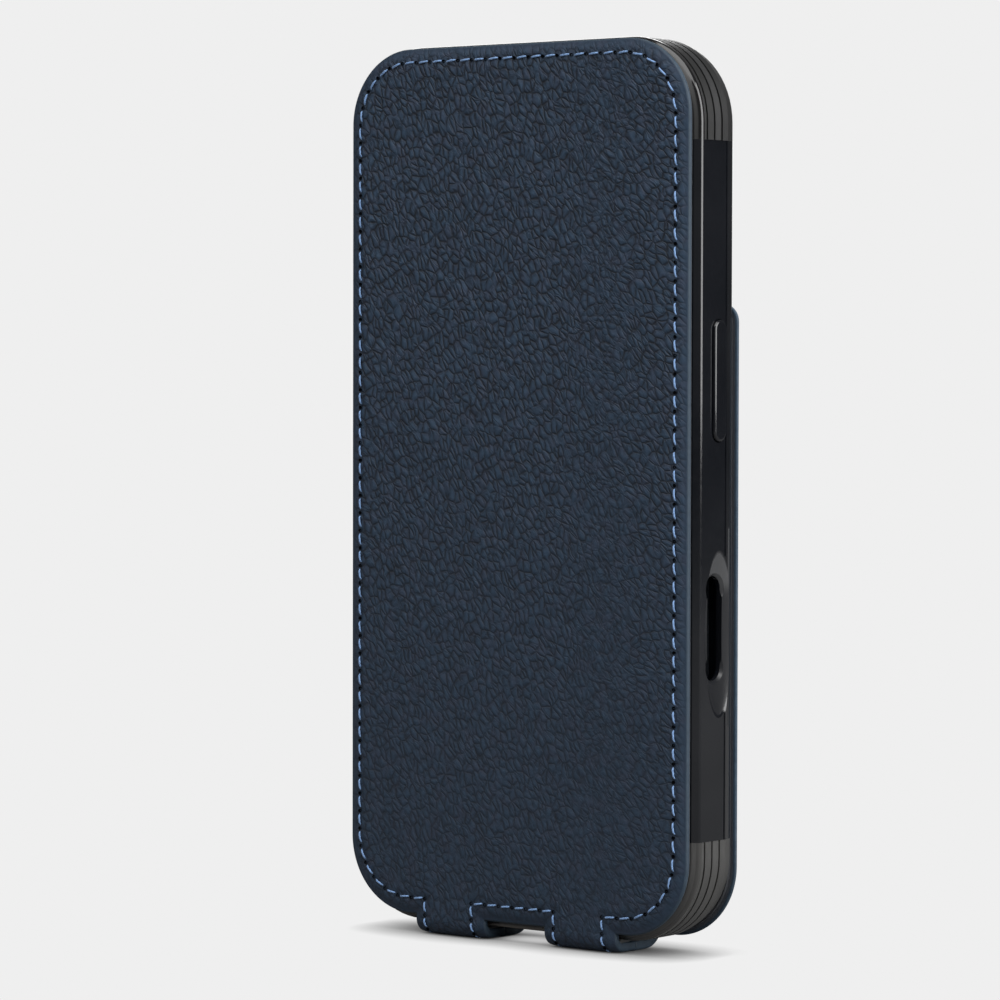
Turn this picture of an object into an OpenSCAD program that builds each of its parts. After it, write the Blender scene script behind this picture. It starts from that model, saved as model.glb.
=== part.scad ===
// Flip-down leather phone case. A bumper tray holds the phone, leather covers the tray's back, and
// a stitched leather flap hangs from two straps that fold under the bottom edge.
// Millimetres. X is to the right seen from the front, Y from the flap to the back, Z up.
// Origin: on the floor under the middle of the standing, closed case.

/* [Phone] */
// Width of the phone in the tray
phone_w = 71.9; // [71:0.1:73]
// Height of the phone
phone_h = 150; // [148:0.1:152]
// Thickness of the phone
phone_t = 8.75; // [8.3:0.05:9.2]
// Corner radius of the phone
phone_corner_r = 13.6; // [13:0.1:14]

/* [Bumper tray] */
// Thickness of the long side walls
side_wall = 1.7; // [1.5:0.05:2]
// Thickness of the top and bottom walls
end_wall = 1.25; // [1.2:0.05:1.5]
// Thickness of the back, lining included
back_t = 1.2; // [1.1:0.05:1.5]
// Height of the front lip above the phone's glass
lip_h = 0.7; // [0.6:0.05:0.8]
// How far the front lip reaches in over the glass
lip_in = 1.1; // [0.9:0.1:1.3]
// Outer corner radius of the tray
tray_corner_r = 14.6; // [14.4:0.1:15.2]
// How far the chamfer along the front outer edge reaches in over the front
front_chamfer_w = 1.2; // [1.1:0.1:1.3]
// How deep that chamfer cuts into the wall
front_chamfer_d = 0.9; // [0.8:0.1:1]
// Rounding of the rear outer edge
rear_edge_r = 0.8; // [0.6:0.1:1]
// Height of the tray's bottom above the floor
tray_lift = 2.25; // [2.2:0.05:2.4]

/* [Camera window] */
// Width of the window in the back
window_w = 60; // [56:1:61]
// Height of the window
window_h = 34.8; // [30:0.1:34.8]
// Width of the rim around the window
rim_w = 2.2; // [1.8:0.1:2.3]
// Height of the rim above the tray's back
rim_h = 1.2; // [0.8:0.1:1.5]

/* [Flap] */
// Width of the flap
flap_w = 73.4; // [73:0.1:74.4]
// Height of the flap
flap_h = 151; // [150:0.5:151]
// Corner radius of the flap
flap_corner_r = 13; // [12:0.5:14]
// Height of the flap's bottom edge above the floor
flap_lift = 3.4; // [3.2:0.1:3.6]
// Thickness of the outer leather
leather_t = 1.1; // [1:0.05:1.2]
// Thickness of the stiffening board
board_t = 0.5; // [0.4:0.05:0.5]
// Thickness of the flap's lining
lining_t = 0.3; // [0.2:0.05:0.3]
// Gap between the closed flap and the tray
flap_gap = 0.35; // [0.35:0.01:0.5]

/* [Straps] */
// Width of each strap
strap_w = 15.5; // [14:0.5:16]
// Distance from the middle of the case to the middle of each strap
strap_x = 14.2; // [14:0.1:15]
// Thickness of the lining under each strap
strap_lining_t = 0.7; // [0.5:0.1:0.7]
// Outer radius of the fold at the front
front_fold_r = 2.8; // [2.6:0.1:3]
// Outer radius of the fold at the back
rear_fold_r = 4.6; // [4.5:0.1:4.8]

/* [Back panel] */
// Width of the leather on the back
panel_w = 75; // [74:0.1:75.2]
// Height of the panel's bottom edge above the floor
panel_lift = 2.3; // [2.2:0.1:2.6]
// Height of the panel's top edge above the floor
panel_top = 109.9; // [104:0.1:110]
// Radius of the panel's bottom corners
panel_bottom_r = 12.7; // [12:0.1:13]
// Radius of the panel's top corners
panel_top_r = 3; // [2:0.5:6]

/* [Buttons] */
// Height of the side button's middle above the floor
side_button_z = 97; // [94:0.5:99]
// Length of the side button cover
side_button_h = 20.4; // [18:0.1:21]
// Height of the slot for the touch control above the floor, at its middle
control_z = 55.5; // [54:0.5:57]
// Length of the slot for the touch control
control_h = 17.6; // [16:0.1:18]
// How far a button cover moves when it is pressed
button_travel = 0.4; // [0.3:0.1:0.4]

/* [Hidden] */
$fn = 64;

// Layers from the front to the back
flap_t = leather_t + board_t + lining_t;
tray_t = lip_h + phone_t + back_t;
rear_t = leather_t + strap_lining_t;
case_t = flap_t + flap_gap + tray_t + rear_t;
front_y = -case_t / 2;
flap_back_y = front_y + flap_t;
tray_front_y = flap_back_y + flap_gap;
tray_back_y = tray_front_y + tray_t;
back_y = case_t / 2;

// Tray outline and walls
tray_w = phone_w + 2 * side_wall;
tray_h = phone_h + 2 * end_wall;
tray_mid_z = tray_lift + tray_h / 2;
ring_w = 4.5;
edge_soft_r = 0.6;
taper_height = 2.45;
taper_angle = 14.5;
recess_depth = 0.12;
recess_low = 2.7;
recess_high = 9;
rib_groove_w = 0.45;
rib_groove_depth = 0.3;
rib_groove_heights = [4.2, 6.3, 8.4];
rib_run = 3;
inner_lining_t = 0.3;
plate_t = back_t - inner_lining_t;
magnet_w = 14;
magnet_x = 17;
keeper_depth = 3;
keeper_t = 0.8;
keeper_front = 1;
cut = 0.5;

// Camera window
window_r = 9;
window_z = 130;

// Button covers and openings in the walls
button_w = 3.4;
button_gap = 0.15;
button_rise = 0.45;
button_clear = button_travel + 0.2;
button_y = 0.8;
button_t = side_wall - button_clear + button_rise;
action_button_z = 119.5;
action_button_h = 7;
volume_up_z = 104.5;
volume_down_z = 90.5;
volume_h = 11.5;
control_y = 0.3;
control_w = 4.4;
control_bevel = 1.3;
control_bevel_depth = 0.9;
scoop_w = 8.4;
scoop_h = 28.8;
scoop_depth = 0.55;
scoop_y = 1.2;
port_w = 12;
port_d = 5.2;
speaker_w = 9;
speaker_d = 1.8;
speaker_x = 15.5;

// Folds: each is cut at its middle, where its hinge line runs just outside the leather
fold_slit = 0.3;
front_fold_y = front_y + front_fold_r;
rear_fold_y = back_y - rear_fold_r;
arc_gap_angle = 4;

// Stitching
stitch_inset = 2.4;
thread_w = 0.6;
thread_depth = 0.3;
strap_stitch_half = 5.2;
stitch_row_z = flap_lift + 2.9;

// Board, magnets and card pocket inside the flap
board_inset = 1.6;
lining_inset = 0.2;
backing_inset = 1;
flap_magnet_h = 4;
flap_magnet_z = 148.6;
pocket_w = 62;
pocket_h = 66;
pocket_z = 48;
pocket_r = 3;
pocket_t = 0.4;
pocket_stitch_inset = 1.5;
pocket_thread_t = 0.15;

leather_colour = [0.16, 0.2, 0.25];
lining_colour = [0.12, 0.14, 0.17];
thread_colour = [0.42, 0.55, 0.75];
bumper_colour = [0.1, 0.1, 0.11];
board_colour = [0.45, 0.4, 0.34];
metal_colour = [0.7, 0.7, 0.72];

// Stands a shape drawn flat on XY up on its edge, with its thickness running from y to the front
module stand_up(y) {
    translate([0, y, 0]) rotate([90, 0, 0]) children();
}

// Lays a profile drawn in depth and height along X, centred on x
module across(x, w) {
    translate([x - w / 2, 0, 0]) rotate([90, 0, 90]) linear_extrude(w) children();
}

module at_straps() {
    for (side = [-1, 1]) translate([side * strap_x, 0]) children();
}

module rounded(w, h, r) {
    square([w - 2 * r, h], center = true);
    square([w, h - 2 * r], center = true);
    for (sx = [-1, 1], sy = [-1, 1]) {
        translate([sx * (w / 2 - r), sy * (h / 2 - r)]) circle(r);
    }
}

module rounded_loop(w, h, r, line) {
    difference() {
        rounded(w + line, h + line, r + line / 2);
        rounded(w - line, h - line, r - line / 2);
    }
}

// Slab drawn flat, standing from y towards the front
module slab(y, t, z) {
    stand_up(y) translate([0, z, 0]) linear_extrude(t) children();
}

// Oval hole or pad through a side wall: long in Z, starting at x and running to the right
module oval_across(x, y, z, w, h, t) {
    translate([x, y, z]) {
        for (end = [-1, 1]) translate([0, 0, end * (h - w) / 2]) rotate([0, 90, 0]) cylinder(t, d = w);
        translate([0, -w / 2, -(h - w) / 2]) cube([t, w, h - w]);
    }
}

// Oval hole through the bottom wall: long in X, starting at z and running up
module oval_up(x, y, z, w, d, t) {
    translate([x, y, z]) {
        for (end = [-1, 1]) translate([end * (w - d) / 2, 0, 0]) cylinder(t, d = d);
        translate([-(w - d) / 2, -d / 2, 0]) cube([w - d, d, t]);
    }
}

// One quarter or eighth of a leather fold, seen from the side
module fold_arc(y, r, t, from_angle, to_angle) {
    reach = 2 * r;
    mid_angle = (from_angle + to_angle) / 2;
    translate([y, r]) intersection() {
        difference() {
            circle(r);
            circle(r - t);
        }
        polygon([
            [0, 0],
            [reach * cos(from_angle), reach * sin(from_angle)],
            [reach * cos(mid_angle), reach * sin(mid_angle)],
            [reach * cos(to_angle), reach * sin(to_angle)],
        ]);
    }
}

// Section through the tray's edge: outwards along X from the corner's centre, back to front along Y.
// The wall tapers in towards the back, and a chamfer with softened ends runs along the front.
module edge_section() {
    outer = tray_corner_r;
    inner = outer - ring_w;
    rear_x = outer - (taper_height - rear_edge_r) * tan(taper_angle) - rear_edge_r / cos(taper_angle);
    wall_end = tray_t - front_chamfer_d;
    front_end = outer - front_chamfer_w;
    turn = atan(front_chamfer_w / front_chamfer_d);
    wall_soft = edge_soft_r * tan(turn / 2);
    front_soft = edge_soft_r * tan(45 - turn / 2);
    polygon([
        [inner, 0],
        [rear_x, 0],
        [rear_x, rear_edge_r],
        [rear_x + rear_edge_r * cos(taper_angle), rear_edge_r * (1 - sin(taper_angle))],
        [outer, taper_height],
        [outer, wall_end - wall_soft],
        [outer - edge_soft_r, wall_end - wall_soft],
        [outer - wall_soft * sin(turn), wall_end + wall_soft * cos(turn)],
        [front_end + front_soft * sin(turn), tray_t - front_soft * cos(turn)],
        [front_end - front_soft, tray_t - edge_soft_r],
        [front_end - front_soft, tray_t],
        [inner, tray_t],
    ]);
    translate([rear_x, rear_edge_r]) circle(rear_edge_r);
    translate([outer - edge_soft_r, wall_end - wall_soft]) circle(edge_soft_r);
    translate([front_end - front_soft, tray_t - edge_soft_r]) circle(edge_soft_r);
}

module plain_section() {
    difference() {
        edge_section();
        translate([tray_corner_r - recess_depth, recess_low])
            square([recess_depth + cut, recess_high - recess_low]);
    }
}

module ribbed_section() {
    difference() {
        edge_section();
        for (height = rib_groove_heights)
            translate([tray_corner_r - rib_groove_depth, height - rib_groove_w / 2])
                square([rib_groove_depth + cut, rib_groove_w]);
    }
}

// A straight run of the tray's edge on the right side, from one height to another
module straight_edge(half_width, from_y, to_y) {
    translate([half_width - tray_corner_r, to_y, 0]) rotate([90, 0, 0]) linear_extrude(to_y - from_y) children();
}

// The four edges and corners of the tray, drawn flat with the back on XY
module tray_edges() {
    for (turn = [0, 180]) rotate([0, 0, turn]) {
        half_run = tray_h / 2 - tray_corner_r;
        straight_edge(tray_w / 2, -half_run, -half_run + rib_run) ribbed_section();
        straight_edge(tray_w / 2, -half_run + rib_run, half_run - rib_run) plain_section();
        straight_edge(tray_w / 2, half_run - rib_run, half_run) ribbed_section();
    }
    for (turn = [90, 270]) rotate([0, 0, turn]) {
        half_run = tray_w / 2 - tray_corner_r;
        straight_edge(tray_h / 2, -half_run, -half_run + rib_run) ribbed_section();
        straight_edge(tray_h / 2, -half_run + rib_run, half_run - rib_run) plain_section();
        straight_edge(tray_h / 2, half_run - rib_run, half_run) ribbed_section();
    }
    for (corner = [0:3]) {
        side_x = (corner == 0 || corner == 3) ? 1 : -1;
        side_y = (corner < 2) ? 1 : -1;
        translate([side_x * (tray_w / 2 - tray_corner_r), side_y * (tray_h / 2 - tray_corner_r), 0])
            rotate([0, 0, 90 * corner]) rotate_extrude(angle = 90) ribbed_section();
    }
}

module phone_space() {
    translate([0, 0, back_t]) linear_extrude(phone_t) rounded(phone_w, phone_h, phone_corner_r);
    translate([0, 0, back_t + phone_t]) linear_extrude(lip_h + cut)
        rounded(phone_w - 2 * lip_in, phone_h - 2 * lip_in, phone_corner_r - lip_in);
}

// Long slot with a bevelled mouth and a shallow finger scoop around it
module control_opening() {
    outer_x = tray_w / 2;
    straight = control_h - control_w;
    oval_across(outer_x - side_wall - cut, control_y, control_z, control_w, control_h, side_wall + 2 * cut);
    for (end = [-1, 1])
        translate([outer_x - control_bevel_depth, control_y, control_z + end * straight / 2])
            rotate([0, 90, 0])
            cylinder(control_bevel_depth + cut, control_w / 2, control_w / 2 + control_bevel);
    translate([outer_x, scoop_y, control_z - 1]) scale([scoop_depth, scoop_w / 2, scoop_h / 2]) sphere(1);
}

module button_hole(side, z, h) {
    start = side > 0 ? tray_w / 2 - side_wall - cut : -tray_w / 2 - cut;
    oval_across(start, button_y, z, button_w + 2 * button_gap, h + 2 * button_gap, side_wall + 2 * cut);
}

module button_pad(side, z, h) {
    outer = tray_w / 2 + button_rise;
    start = side > 0 ? outer - button_t : -outer;
    color(bumper_colour) oval_across(start, button_y, z, button_w, h, button_t);
}

module keeper_bars() {
    bar_z = tray_mid_z + phone_h / 2;
    for (side = [-1, 1])
        translate([side * magnet_x - magnet_w / 2, tray_front_y + keeper_front, bar_z])
            cube([magnet_w, keeper_depth, keeper_t]);
}

module bumper_frame() {
    color(bumper_colour) difference() {
        stand_up(tray_back_y) translate([0, tray_mid_z, 0]) difference() {
            tray_edges();
            phone_space();
        }
        control_opening();
        button_hole(1, side_button_z, side_button_h);
        button_hole(-1, action_button_z, action_button_h);
        button_hole(-1, volume_up_z, volume_h);
        button_hole(-1, volume_down_z, volume_h);
        oval_up(0, 0, tray_lift - cut, port_w, port_d, end_wall + 2 * cut);
        for (side = [-1, 1])
            oval_up(side * speaker_x, 0, tray_lift - cut, speaker_w, speaker_d, end_wall + 2 * cut);
        keeper_bars();
    }
}

module rim_outline(grow) {
    rounded(window_w + 2 * grow, window_h + 2 * grow, window_r + grow);
}

module plate_outline() {
    difference() {
        translate([0, tray_mid_z])
            rounded(tray_w - 2 * ring_w, tray_h - 2 * ring_w, tray_corner_r - ring_w);
        translate([0, window_z]) rim_outline(rim_w);
    }
}

module back_plate() {
    color(bumper_colour) slab(tray_back_y, plate_t, 0) plate_outline();
}

module camera_rim() {
    color(bumper_colour) slab(tray_back_y + rim_h, rim_h + back_t, window_z) difference() {
        rim_outline(rim_w);
        rim_outline(0);
    }
}

module back_lining() {
    color(lining_colour) slab(tray_back_y - plate_t, inner_lining_t, 0) plate_outline();
}

module keeper_magnets() {
    color(metal_colour) keeper_bars();
}

// Outline of the back panel shrunk by an inset, with clear notches where the straps fold away
module panel_outline(inset) {
    w = panel_w - 2 * inset;
    low = panel_lift + inset;
    high = panel_top - inset;
    low_r = panel_bottom_r - inset;
    high_r = max(panel_top_r - inset, cut);
    difference() {
        union() {
            translate([-w / 2, low + low_r]) square([w, high - high_r - low - low_r]);
            translate([-w / 2 + low_r, low]) square([w - 2 * low_r, low_r]);
            translate([-w / 2 + high_r, high - high_r]) square([w - 2 * high_r, high_r]);
            for (side = [-1, 1]) {
                translate([side * (w / 2 - low_r), low + low_r]) circle(low_r);
                translate([side * (w / 2 - high_r), high - high_r]) circle(high_r);
            }
        }
        at_straps() translate([-strap_w / 2 - fold_slit, 0]) square([strap_w + 2 * fold_slit, rear_fold_r]);
    }
}

module rear_backing() {
    color(lining_colour) slab(back_y - leather_t, strap_lining_t, 0) panel_outline(backing_inset);
}

module panel_stitch_line() {
    w = panel_w - 2 * stitch_inset;
    low = rear_fold_r + stitch_inset / 2;
    high = panel_top - stitch_inset;
    translate([0, (low + high) / 2]) rounded_loop(w, high - low, panel_bottom_r - stitch_inset, thread_w);
}

module rear_thread() {
    color(thread_colour) slab(back_y, thread_depth, 0) panel_stitch_line();
}

module rear_leather() {
    color(leather_colour) {
        difference() {
            slab(back_y, leather_t, 0) panel_outline(0);
            slab(back_y, thread_depth, 0) panel_stitch_line();
        }
        at_straps() across(0, strap_w)
            fold_arc(rear_fold_y, rear_fold_r, leather_t, 315 + arc_gap_angle, 360);
    }
}

module side_button_cover() {
    button_pad(1, side_button_z, side_button_h);
}

module action_button_cover() {
    button_pad(-1, action_button_z, action_button_h);
}

module volume_up_cover() {
    button_pad(-1, volume_up_z, volume_h);
}

module volume_down_cover() {
    button_pad(-1, volume_down_z, volume_h);
}

// Threads along both sides of each strap, let into the leather
module strap_stitch_lines() {
    for (edge = [-1, 1])
        translate([edge * strap_stitch_half - thread_w / 2, front_fold_y, 0])
            cube([thread_w, rear_fold_y - front_fold_y, thread_depth]);
}

module strap(side) {
    color(leather_colour) difference() {
        across(side * strap_x, strap_w) {
            translate([front_fold_y, 0]) square([rear_fold_y - front_fold_y, leather_t]);
            fold_arc(front_fold_y, front_fold_r, leather_t, 225 + arc_gap_angle, 270);
            fold_arc(rear_fold_y, rear_fold_r, leather_t, 270, 315 - arc_gap_angle);
        }
        translate([side * strap_x, 0, 0]) strap_stitch_lines();
    }
}

module strap_lining(side) {
    color(lining_colour) across(side * strap_x, strap_w)
        translate([front_fold_y, leather_t]) square([rear_fold_y - front_fold_y, strap_lining_t]);
}

module left_strap() {
    strap(-1);
}

module right_strap() {
    strap(1);
}

module left_strap_lining() {
    strap_lining(-1);
}

module right_strap_lining() {
    strap_lining(1);
}

module strap_thread() {
    color(thread_colour) at_straps() strap_stitch_lines();
}

module flap_outline(inset) {
    translate([0, flap_lift + flap_h / 2])
        rounded(flap_w - 2 * inset, flap_h - 2 * inset, flap_corner_r - inset);
}

// The seam follows the edge of the flap, and turns down both sides of each strap
module flap_stitch_line() {
    top = flap_lift + flap_h - stitch_inset;
    difference() {
        translate([0, (stitch_row_z + top) / 2])
            rounded_loop(flap_w - 2 * stitch_inset, top - stitch_row_z, flap_corner_r - stitch_inset, thread_w);
        at_straps() translate([-strap_stitch_half + thread_w / 2, 0])
            square([2 * strap_stitch_half - thread_w, flap_lift + flap_corner_r]);
    }
    at_straps() for (edge = [-1, 1])
        translate([edge * strap_stitch_half - thread_w / 2, front_fold_r])
            square([thread_w, stitch_row_z - front_fold_r]);
}

module flap_leather() {
    color(leather_colour) {
        difference() {
            slab(front_y + leather_t, leather_t, 0) {
                flap_outline(0);
                at_straps() translate([-strap_w / 2, front_fold_r]) square([strap_w, flap_lift]);
            }
            slab(front_y + thread_depth, thread_depth, 0) flap_stitch_line();
        }
        at_straps() across(0, strap_w)
            fold_arc(front_fold_y, front_fold_r, leather_t, 180, 225 - arc_gap_angle);
    }
}

module flap_magnet_outline() {
    for (side = [-1, 1])
        translate([side * magnet_x, flap_magnet_z]) square([magnet_w, flap_magnet_h], center = true);
}

module flap_board() {
    color(board_colour) slab(flap_back_y - lining_t, board_t, 0) difference() {
        flap_outline(board_inset);
        flap_magnet_outline();
    }
}

module flap_lining() {
    color(lining_colour) slab(flap_back_y, lining_t, 0) flap_outline(lining_inset);
}

module flap_magnets() {
    color(metal_colour) slab(flap_back_y - lining_t, board_t, 0) flap_magnet_outline();
}

module flap_thread() {
    color(thread_colour) slab(front_y + thread_depth, thread_depth, 0) flap_stitch_line();
}

module card_pocket() {
    color(leather_colour) slab(flap_back_y + pocket_t, pocket_t, pocket_z) rounded(pocket_w, pocket_h, pocket_r);
}

// The pocket is sewn along its sides and bottom, and its mouth is at the top
module pocket_thread() {
    w = pocket_w - 2 * pocket_stitch_inset;
    h = pocket_h - 2 * pocket_stitch_inset;
    color(thread_colour) slab(flap_back_y + pocket_t + pocket_thread_t, pocket_thread_t, pocket_z) difference() {
        rounded_loop(w, h, pocket_r - pocket_stitch_inset / 2, thread_w);
        translate([0, h / 2]) square([w - pocket_stitch_inset, 2 * pocket_r], center = true);
    }
}

bumper_frame();
back_plate();
camera_rim();
back_lining();
keeper_magnets();
rear_backing();
rear_leather();
rear_thread();
side_button_cover();
action_button_cover();
volume_up_cover();
volume_down_cover();
left_strap();
right_strap();
left_strap_lining();
right_strap_lining();
strap_thread();
flap_leather();
flap_board();
flap_lining();
flap_magnets();
flap_thread();
card_pocket();
pocket_thread();
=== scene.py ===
"""Looks of a flip-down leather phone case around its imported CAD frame.

Sheets of leather are worked out flat, in millimetres across (x) and along (s), with a depth below
their outer face, and are then laid on the case, round the folds of its straps.
"""

from functools import reduce
from math import ceil, cos, pi, radians, sin

import bpy
import numpy as np
from mathutils import Matrix, Vector

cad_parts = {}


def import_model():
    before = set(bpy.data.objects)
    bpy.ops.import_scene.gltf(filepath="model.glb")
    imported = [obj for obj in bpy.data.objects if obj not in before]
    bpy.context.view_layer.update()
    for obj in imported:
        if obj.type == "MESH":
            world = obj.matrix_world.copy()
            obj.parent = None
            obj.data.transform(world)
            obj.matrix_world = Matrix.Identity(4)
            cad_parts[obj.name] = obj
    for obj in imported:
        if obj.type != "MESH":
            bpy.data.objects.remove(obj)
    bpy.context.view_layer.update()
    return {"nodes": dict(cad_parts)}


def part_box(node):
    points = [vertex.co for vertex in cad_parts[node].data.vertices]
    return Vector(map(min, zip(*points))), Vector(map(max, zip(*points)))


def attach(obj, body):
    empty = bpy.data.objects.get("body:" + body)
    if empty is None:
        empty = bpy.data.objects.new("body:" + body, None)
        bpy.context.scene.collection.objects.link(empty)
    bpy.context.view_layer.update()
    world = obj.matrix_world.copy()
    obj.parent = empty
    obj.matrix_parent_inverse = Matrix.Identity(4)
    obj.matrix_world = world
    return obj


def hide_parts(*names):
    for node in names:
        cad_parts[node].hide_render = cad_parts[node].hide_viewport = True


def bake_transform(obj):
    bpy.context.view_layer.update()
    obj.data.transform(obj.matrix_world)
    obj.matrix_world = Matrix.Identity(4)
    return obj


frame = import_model()
MM = 0.001


def box_mm(node):
    lo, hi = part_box(node)
    return np.array(lo) / MM, np.array(hi) / MM


# ---- sizes read from the frame, in mm
FLAP_LO, FLAP_HI = box_mm("flap_lining")
SKIN_LO, SKIN_HI = box_mm("flap_leather")
BOARD_HI = box_mm("flap_board")[1]
STRAP_LO, STRAP_HI = box_mm("right_strap")
STRAP_LINING_LO, STRAP_LINING_HI = box_mm("right_strap_lining")
PANEL_HI = box_mm("rear_leather")[1]
THREAD_HI = box_mm("flap_thread")[1]
REAR_THREAD_HI = box_mm("rear_thread")[1]
POCKET_LO, POCKET_HI = box_mm("card_pocket")
TRAY_LO, TRAY_HI = box_mm("bumper_frame")

# Sizes of the CAD that its boxes don't tell
TRAY_R = 14.6
RIBBED_RUN = 17.6
FIRST_RIB, RIB_PITCH = 4.2, 2.1
CONTROL_Y, CONTROL_Z = 0.3, 55.5
WINDOW_R = 9.0
RIM_W = 2.2
TRAY_LINING_R = 10.1
LINING_INSET = 0.2
FLAP_R = 13.0
PANEL_LOW = 2.3
PANEL_LOW_R = 12.7
PANEL_TOP_R = 3.0
POCKET_R = 3.0
POCKET_SEAM_IN, POCKET_SEAM_END = 1.5, 0.8
CAD_THREAD_HALF = 0.3
SEAM_RISE = 2.9
REAR_SEAM_RISE = 1.6
REAR_SEAM_TOP_R = 1.6
STRAP_SEAM = 5.2
STRAP_SLIT = 0.3

FRONT_Y = SKIN_LO[1]
BACK_Y = PANEL_HI[1]
FLAP_HALF = SKIN_HI[0]
FLAP_TOP = SKIN_HI[2]
FLAP_LOW = FLAP_LO[2] - LINING_INSET
PANEL_HALF = PANEL_HI[0]
PANEL_TOP = PANEL_HI[2]
STRAP_HALF = (STRAP_HI[0] - STRAP_LO[0]) / 2
STRAP_X = (STRAP_HI[0] + STRAP_LO[0]) / 2
STRAP_T = STRAP_LINING_HI[2]
LEATHER_T = STRAP_LINING_LO[2]
FRONT_R = STRAP_LINING_LO[1] - FRONT_Y
REAR_R = BACK_Y - STRAP_LINING_HI[1]
FLAP_EDGE_T = BOARD_HI[1] - FRONT_Y
SEAM_HALF = THREAD_HI[0] - CAD_THREAD_HALF
SEAM_TOP = THREAD_HI[2] - CAD_THREAD_HALF
SEAM_LOW = FLAP_LOW + SEAM_RISE
SPLIT_Y = (STRAP_LINING_LO[1] + STRAP_LINING_HI[1]) / 2

# ---- the leather's own detail, in mm
STITCH_PITCH = 3.1
STITCH_GAP = 0.78
STITCH_LEAN = 7
STITCH_CROWN = 0.12
THREAD_R = 0.175
PLY_PITCH = 1.1
HOLE_R = 0.30
PULL_DEPTH, PULL_WIDTH, PULL_REACH = 0.20, 0.80, 2.4
HOLE_DIP, HOLE_DIP_WIDTH = 0.26, 0.6
GRAIN_TILT = radians(25)
GRAIN_DEPTH = 0.15
GRAIN_STEP = 0.38
REAR_GRAIN_STEP = 0.45
PEBBLE = (0.95, 1.7)
PEBBLE_SWELL = (1.5, 2.6)
FOLD = (1.5, 3.4)
FLAP_GRAIN, REAR_GRAIN, POCKET_GRAIN = 5, 15, 25
INNER_BLOCK = 4
EDGE_IN = 0.5
BORDER_IN = 1.5
FACE_SUNK = 0.02


# ---- noise in numpy
def lattice(seed, n=64, depth=1):
    return np.random.default_rng(seed).random((n, n, depth))


def value_noise(x, y, size, seed):
    """Smooth noise from -1 to 1 with features of the given size."""
    table = lattice(seed)[..., 0]
    n = len(table)
    gx, gy = np.asarray(x) / size, np.asarray(y) / size
    ix, iy = np.floor(gx).astype(int), np.floor(gy).astype(int)
    fx, fy = gx - ix, gy - iy
    fx, fy = fx * fx * (3 - 2 * fx), fy * fy * (3 - 2 * fy)
    a, b = table[ix % n, iy % n], table[(ix + 1) % n, iy % n]
    c, d = table[ix % n, (iy + 1) % n], table[(ix + 1) % n, (iy + 1) % n]
    return 2 * ((a * (1 - fx) + b * fx) * (1 - fy) + (c * (1 - fx) + d * fx) * fy) - 1


def cells(gx, gy, seed, n=97):
    """Distance to the nearest cell point and to the second nearest, in cell sizes."""
    table = lattice(seed, n, 2)
    ix, iy = np.floor(gx).astype(int), np.floor(gy).astype(int)
    near = np.full(np.shape(gx), 9.0)
    second = near.copy()
    for dx in range(-2, 3):
        for dy in range(-2, 3):
            jx, jy = ix + dx, iy + dy
            jit = table[jx % n, jy % n]
            r = np.hypot(jx + jit[..., 0] - gx, jy + jit[..., 1] - gy)
            second = np.minimum(second, np.maximum(near, r))
            near = np.minimum(near, r)
    return near, second


def smooth(a, b, v):
    t = np.clip((v - a) / (b - a), 0, 1)
    return t * t * (3 - 2 * t)


def leather_grain(x, s, seed):
    """Height of the grain, 0 in a crease and 1 on a pebble; pebbles are long and lean to the upper left."""
    wx = x + 0.35 * value_noise(x, s, 1.9, seed + 1) + 1.1 * value_noise(x, s, 8.0, seed + 2)
    ws = s + 0.35 * value_noise(x, s, 1.9, seed + 3) + 1.1 * value_noise(x, s, 8.0, seed + 4)
    lean = GRAIN_TILT * (0.45 + 0.55 * smooth(10, 110, s))
    u = wx * np.cos(lean) + ws * np.sin(lean)
    v = ws * np.cos(lean) - wx * np.sin(lean)
    f1, f2 = cells(u / PEBBLE[0], v / PEBBLE[1], seed + 5)
    pebbles = smooth(0.0, 0.30, f2 - f1) * (1 - 0.22 * np.minimum(f1, 1) ** 2)
    swell = value_noise(u / PEBBLE_SWELL[0], v / PEBBLE_SWELL[1], 1.0, seed + 8)
    pebbles += (0.5 - 0.5 * pebbles) * smooth(0.0, 0.5, swell)
    folds = np.minimum(1.8 * np.abs(value_noise(u / FOLD[0], v / FOLD[1], 1.0, seed + 6)), 1)
    height = 0.40 * pebbles + 0.60 * folds
    return 1 - (1 - height) * (0.58 + 0.42 * smooth(5, 125, s))


# ---- meshes
def make_mesh(name, verts, faces, materials, face_mats=None, attributes=None):
    me = bpy.data.meshes.new(name)
    me.from_pydata([tuple(v) for v in np.asarray(verts) * MM], [], [tuple(f) for f in faces])
    for m in materials:
        me.materials.append(m)
    if face_mats is not None:
        me.polygons.foreach_set("material_index", np.asarray(face_mats, np.int32))
    me.polygons.foreach_set("use_smooth", np.full(len(me.polygons), True))
    for key, values in (attributes or {}).items():
        values = np.asarray(values, np.float32)
        kind = "FLOAT" if values.ndim == 1 else "FLOAT_VECTOR"
        layer = me.attributes.new(key, kind, "POINT")
        layer.data.foreach_set("value" if kind == "FLOAT" else "vector", values.ravel())
    me.update()
    me.validate()
    ob = bpy.data.objects.new(name, me)
    bpy.context.scene.collection.objects.link(ob)
    return ob


def fill(keys, step):
    """Grid lines through the keys, no further apart than step, and the index of each key."""
    out, marks = [keys[0]], [0]
    for a, b in zip(keys, keys[1:]):
        n = max(1, ceil((b - a) / step - 1e-6))
        out += [a + (b - a) * k / n for k in range(1, n + 1)]
        marks.append(len(out) - 1)
    return np.array(out), marks


def blocks(marks, size):
    """Spans of at most size cells that never cross a mark."""
    spans = []
    for a, b in zip(marks, marks[1:]):
        spans += [(k, min(k + size, b)) for k in range(a, b, size)]
    return spans


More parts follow.
